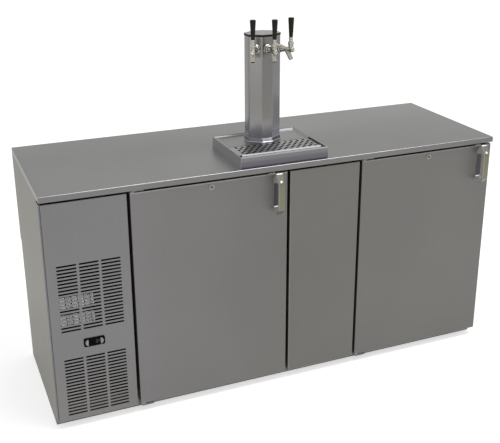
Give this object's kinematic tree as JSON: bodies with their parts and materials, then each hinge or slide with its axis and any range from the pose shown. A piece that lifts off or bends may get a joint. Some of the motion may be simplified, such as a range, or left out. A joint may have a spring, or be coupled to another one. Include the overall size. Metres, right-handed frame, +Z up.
{
  "type": "draft beer cooler",
  "caption": "Stainless back-bar keg cooler with hinged doors, louvred compressor bay, drip tray and a multi-tap tower whose levers open coupled valves",
  "frame": {"origin": "on the floor under the middle of the countertop", "axes": "+X to the right seen from the front, +Y to the back, +Z up; the doors are at -Y"},
  "size_m": [1.829, 0.656, 1.429],
  "materials": {
    "brushed_steel": "brushed stainless sheet",
    "galvanised": "galvanised sheet",
    "foam": null,
    "black_metal": "black painted metal",
    "black_plastic": "satin black plastic",
    "grey_plastic": "light grey plastic",
    "fins": "mill finish aluminium",
    "copper": "drawn copper tube",
    "zinc": "zinc plated steel",
    "seal": "black rubber",
    "nylon": "translucent white plastic",
    "polished": "polished stainless",
    "chrome": "polished chrome plate",
    "grid_steel": "perforated stainless sheet"
  },
  "bodies": {
    "cabinet": {"countertop": "brushed_steel", "left_side_panel": "brushed_steel", "right_side_panel": "brushed_steel", "rear_panel": "galvanised", "base_pan": "brushed_steel", "insulation": "foam", "liner_panels": "galvanised", "front_frame": "black_metal", "mullion_panel": "brushed_steel", "grille_panel": "brushed_steel", "controller_housing": "black_plastic", "unit_shelf": "galvanised", "compressor": "black_metal", "fin_coils": "fins", "fan_shroud": "galvanised", "fan_motors": "black_metal", "evaporator_housing": "galvanised", "refrigerant_lines": "copper", "power_inlet": "black_plastic", "hinge_brackets": "zinc", "hinge_pins": "zinc", "drip_tray": "brushed_steel", "drain_fitting": "chrome", "tower_column": "brushed_steel", "tower_flange": "brushed_steel", "tower_cap": "brushed_steel", "cap_gasket": "seal", "shanks": "chrome", "shank_collars": "chrome", "shank_nuts": "chrome", "tap_bodies": "chrome", "beer_lines": "nylon"},
    "door_1": {"door_1_skin": "brushed_steel", "door_1_liner": "galvanised", "door_1_gasket": "seal", "door_1_bushings": "nylon", "door_1_handle": "polished", "door_1_lock_body": "chrome"},
    "door_2": {"door_2_skin": "brushed_steel", "door_2_liner": "galvanised", "door_2_gasket": "seal", "door_2_bushings": "nylon", "door_2_handle": "polished", "door_2_lock_body": "chrome"},
    "lock_1": {"door_1_lock_plug": "chrome"},
    "lock_2": {"door_2_lock_plug": "chrome"},
    "grid": {"drip_grid": "grid_steel"},
    "bay_fan": {"condenser_fan": "fins"},
    "cold_fan": {"evaporator_fan": "fins"},
    "button_left": {"controller_button_left": "grey_plastic"},
    "button_right": {"controller_button_right": "grey_plastic"},
    "lever_1": {"tap_lever_1": "chrome", "tap_knob_1": "black_plastic"},
    "valve_1": {"tap_valve_1": "chrome"},
    "lever_2": {"tap_lever_2": "chrome", "tap_knob_2": "black_plastic"},
    "valve_2": {"tap_valve_2": "chrome"},
    "lever_3": {"tap_lever_3": "chrome", "tap_knob_3": "black_plastic"},
    "valve_3": {"tap_valve_3": "chrome"}
  },
  "joints": [
    {"name": "door_1_hinge", "type": "hinge", "parent": "cabinet", "child": "door_1", "pos_m": [-0.5912, -0.2865, 0], "axis": [0, 0, -1], "range_deg": [0, 110]},
    {"name": "door_2_hinge", "type": "hinge", "parent": "cabinet", "child": "door_2", "pos_m": [0.3252, -0.2865, 0], "axis": [0, 0, -1], "range_deg": [0, 110]},
    {"name": "lock_1_turn", "type": "hinge", "parent": "door_1", "child": "lock_1", "pos_m": [-0.3032, -0.2985, 0.863], "axis": [0, 1, 0], "range_deg": [0, 90]},
    {"name": "lock_2_turn", "type": "hinge", "parent": "door_2", "child": "lock_2", "pos_m": [0.6132, -0.2985, 0.863], "axis": [0, 1, 0], "range_deg": [0, 90]},
    {"name": "lever_1_pull", "type": "hinge", "parent": "cabinet", "child": "lever_1", "pos_m": [-0.08739, -0.16719, 1.321], "axis": [0.8507, -0.5257, 0], "range_deg": [0, 35]},
    {"name": "lever_2_pull", "type": "hinge", "parent": "cabinet", "child": "lever_2", "pos_m": [-0.0115, -0.1905, 1.321], "axis": [1, 0, 0], "range_deg": [0, 35]},
    {"name": "lever_3_pull", "type": "hinge", "parent": "cabinet", "child": "lever_3", "pos_m": [0.06439, -0.16719, 1.321], "axis": [0.8507, 0.5257, 0], "range_deg": [0, 35]},
    {"name": "valve_1_open", "type": "slide", "parent": "cabinet", "child": "valve_1", "axis": [0.5257, 0.8507, 0], "range_m": [0, 0.0076]},
    {"name": "valve_2_open", "type": "slide", "parent": "cabinet", "child": "valve_2", "axis": [0, 1, 0], "range_m": [0, 0.0076]},
    {"name": "valve_3_open", "type": "slide", "parent": "cabinet", "child": "valve_3", "axis": [-0.5257, 0.8507, 0], "range_m": [0, 0.0076]},
    {"name": "grid_lift", "type": "slide", "parent": "cabinet", "child": "grid", "axis": [0, 0, 1], "range_m": [0, 0.12]},
    {"name": "bay_fan_spin", "type": "hinge", "parent": "cabinet", "child": "bay_fan", "pos_m": [-0.77245, -0.1055, 0.386], "axis": [0, 1, 0], "continuous": true},
    {"name": "cold_fan_spin", "type": "hinge", "parent": "cabinet", "child": "cold_fan", "pos_m": [0.155, 0.116, 0.745], "axis": [0, 1, 0], "continuous": true},
    {"name": "button_left_press", "type": "slide", "parent": "cabinet", "child": "button_left", "axis": [0, 1, 0], "range_m": [0, 0.0008], "stiffness_N_per_m": 400},
    {"name": "button_right_press", "type": "slide", "parent": "cabinet", "child": "button_right", "axis": [0, 1, 0], "range_m": [0, 0.0008], "stiffness_N_per_m": 400}
  ],
  "couplings": [
    {"joint": "valve_1_open", "follows": "lever_1_pull", "m_per_rad": 0.012206},
    {"joint": "valve_2_open", "follows": "lever_2_pull", "m_per_rad": 0.012206},
    {"joint": "valve_3_open", "follows": "lever_3_pull", "m_per_rad": 0.012206}
  ]
}
